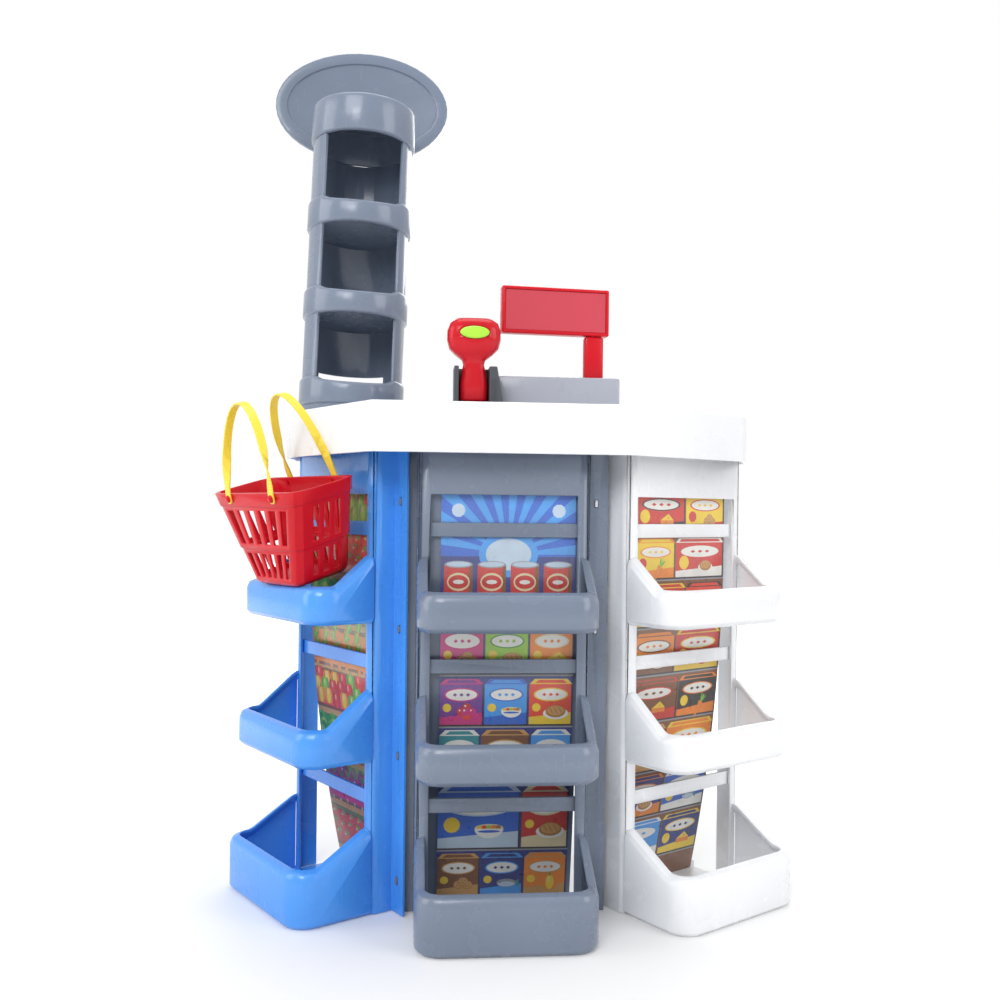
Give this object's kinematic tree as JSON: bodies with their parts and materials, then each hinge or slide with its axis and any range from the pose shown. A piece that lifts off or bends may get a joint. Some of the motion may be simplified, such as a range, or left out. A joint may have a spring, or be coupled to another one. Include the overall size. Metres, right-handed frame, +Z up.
{
  "type": "toy grocery store",
  "caption": "Child's toy shop stand: stepped shelf bays at angles under a counter, with a shelf tower and sign, cash register, hand scanner in a holder, and a shopping basket",
  "frame": {"origin": "middle of the footprint, on the floor the bays stand on", "axes": "+Z up, -Y out of the middle bay towards the customer, +X to the customer's right"},
  "size_m": [0.5303, 0.2753, 0.827],
  "materials": {
    "sky_blue_plastic": "glossy moulded plastic",
    "grey_plastic": "glossy moulded plastic",
    "white_plastic": "glossy moulded plastic",
    "light_grey_plastic": "glossy moulded plastic",
    "dark_plastic": "fine grained",
    "red_plastic": "glossy moulded plastic",
    "display_face": "glossy, plain",
    "yellow_plastic": "smooth, slightly soft",
    "lime_plastic": "glossy moulded plastic",
    "smoked_window": "clear, dark",
    "zinc_steel": "zinc plated",
    "circuit_board": "solder resist",
    "green_card": "printed plastic sheet",
    "blue_card": "printed plastic sheet",
    "red_card": "printed plastic sheet"
  },
  "bodies": {
    "stand": {"blue_bay": "sky_blue_plastic", "grey_bay": "grey_plastic", "white_bay": "white_plastic", "blue_card": "green_card", "grey_card": "blue_card", "white_card": "red_card", "counter_top": "white_plastic", "screw_blue_right": "zinc_steel", "screw_grey_left": "zinc_steel", "screw_grey_right": "zinc_steel", "screw_white_left": "zinc_steel", "screw_white_right": "zinc_steel", "tower_column": "grey_plastic", "tower_cap": "grey_plastic", "tower_sign": "grey_plastic", "register_base": "dark_plastic", "register_cover": "light_grey_plastic", "register_board": "circuit_board", "register_speaker": "zinc_steel", "battery_door": "dark_plastic", "battery_cell_1": "zinc_steel", "battery_cell_2": "zinc_steel", "display_frame": "red_plastic", "display_panel": "display_face", "display_post": "red_plastic", "scanner_cradle": "dark_plastic"},
    "basket": {"basket_tub": "red_plastic", "basket_handle_front": "yellow_plastic", "basket_handle_rear": "yellow_plastic", "basket_rivet_1": "red_plastic", "basket_rivet_2": "red_plastic", "basket_rivet_3": "red_plastic", "basket_rivet_4": "red_plastic"},
    "scanner": {"scanner_front_shell": "red_plastic", "scanner_back_shell": "red_plastic", "scanner_window": "smoked_window"},
    "scanner_button_body": {"scanner_button": "lime_plastic"},
    "scanner_trigger_body": {"scanner_trigger": "dark_plastic"},
    "drawer": {"cash_drawer": "light_grey_plastic"},
    "key_7_body": {"key_7": "white_plastic"},
    "key_8_body": {"key_8": "white_plastic"},
    "key_9_body": {"key_9": "white_plastic"},
    "key_4_body": {"key_4": "white_plastic"},
    "key_5_body": {"key_5": "white_plastic"},
    "key_6_body": {"key_6": "white_plastic"},
    "key_1_body": {"key_1": "white_plastic"},
    "key_2_body": {"key_2": "white_plastic"},
    "key_3_body": {"key_3": "white_plastic"},
    "key_0_body": {"key_0": "white_plastic"},
    "key_scan_body": {"key_scan": "yellow_plastic"},
    "key_open_body": {"key_open": "yellow_plastic"}
  },
  "joints": [
    {"name": "basket_lift", "type": "slide", "parent": "stand", "child": "basket", "axis": [-0.5997, -0.3747, 0.7071], "range_m": [0, 0.12]},
    {"name": "scanner_lift", "type": "slide", "parent": "stand", "child": "scanner", "axis": [0, 0, 1], "range_m": [0, 0.08]},
    {"name": "scanner_button_press", "type": "slide", "parent": "scanner", "child": "scanner_button_body", "axis": [0, 1, 0], "range_m": [0, 0.0015], "stiffness_N_per_m": 120, "springref_m": -0.002},
    {"name": "scanner_trigger_pull", "type": "slide", "parent": "scanner", "child": "scanner_trigger_body", "axis": [0, -1, 0], "range_m": [0, 0.0015], "stiffness_N_per_m": 120, "springref_m": -0.002},
    {"name": "drawer_slide", "type": "slide", "parent": "stand", "child": "drawer", "axis": [0, 1, 0], "range_m": [0, 0.04]},
    {"name": "key_7_press", "type": "slide", "parent": "stand", "child": "key_7_body", "axis": [0, -0.0963, -0.9954], "range_m": [0, 0.0018], "stiffness_N_per_m": 150, "springref_m": -0.002},
    {"name": "key_8_press", "type": "slide", "parent": "stand", "child": "key_8_body", "axis": [0, -0.0963, -0.9954], "range_m": [0, 0.0018], "stiffness_N_per_m": 150, "springref_m": -0.002},
    {"name": "key_9_press", "type": "slide", "parent": "stand", "child": "key_9_body", "axis": [0, -0.0963, -0.9954], "range_m": [0, 0.0018], "stiffness_N_per_m": 150, "springref_m": -0.002},
    {"name": "key_4_press", "type": "slide", "parent": "stand", "child": "key_4_body", "axis": [0, -0.0963, -0.9954], "range_m": [0, 0.0018], "stiffness_N_per_m": 150, "springref_m": -0.002},
    {"name": "key_5_press", "type": "slide", "parent": "stand", "child": "key_5_body", "axis": [0, -0.0963, -0.9954], "range_m": [0, 0.0018], "stiffness_N_per_m": 150, "springref_m": -0.002},
    {"name": "key_6_press", "type": "slide", "parent": "stand", "child": "key_6_body", "axis": [0, -0.0963, -0.9954], "range_m": [0, 0.0018], "stiffness_N_per_m": 150, "springref_m": -0.002},
    {"name": "key_1_press", "type": "slide", "parent": "stand", "child": "key_1_body", "axis": [0, -0.0963, -0.9954], "range_m": [0, 0.0018], "stiffness_N_per_m": 150, "springref_m": -0.002},
    {"name": "key_2_press", "type": "slide", "parent": "stand", "child": "key_2_body", "axis": [0, -0.0963, -0.9954], "range_m": [0, 0.0018], "stiffness_N_per_m": 150, "springref_m": -0.002},
    {"name": "key_3_press", "type": "slide", "parent": "stand", "child": "key_3_body", "axis": [0, -0.0963, -0.9954], "range_m": [0, 0.0018], "stiffness_N_per_m": 150, "springref_m": -0.002},
    {"name": "key_0_press", "type": "slide", "parent": "stand", "child": "key_0_body", "axis": [0, -0.0963, -0.9954], "range_m": [0, 0.0018], "stiffness_N_per_m": 150, "springref_m": -0.002},
    {"name": "key_scan_press", "type": "slide", "parent": "stand", "child": "key_scan_body", "axis": [0, -0.0963, -0.9954], "range_m": [0, 0.0018], "stiffness_N_per_m": 150, "springref_m": -0.002},
    {"name": "key_open_press", "type": "slide", "parent": "stand", "child": "key_open_body", "axis": [0, -0.0963, -0.9954], "range_m": [0, 0.0018], "stiffness_N_per_m": 150, "springref_m": -0.002}
  ]
}
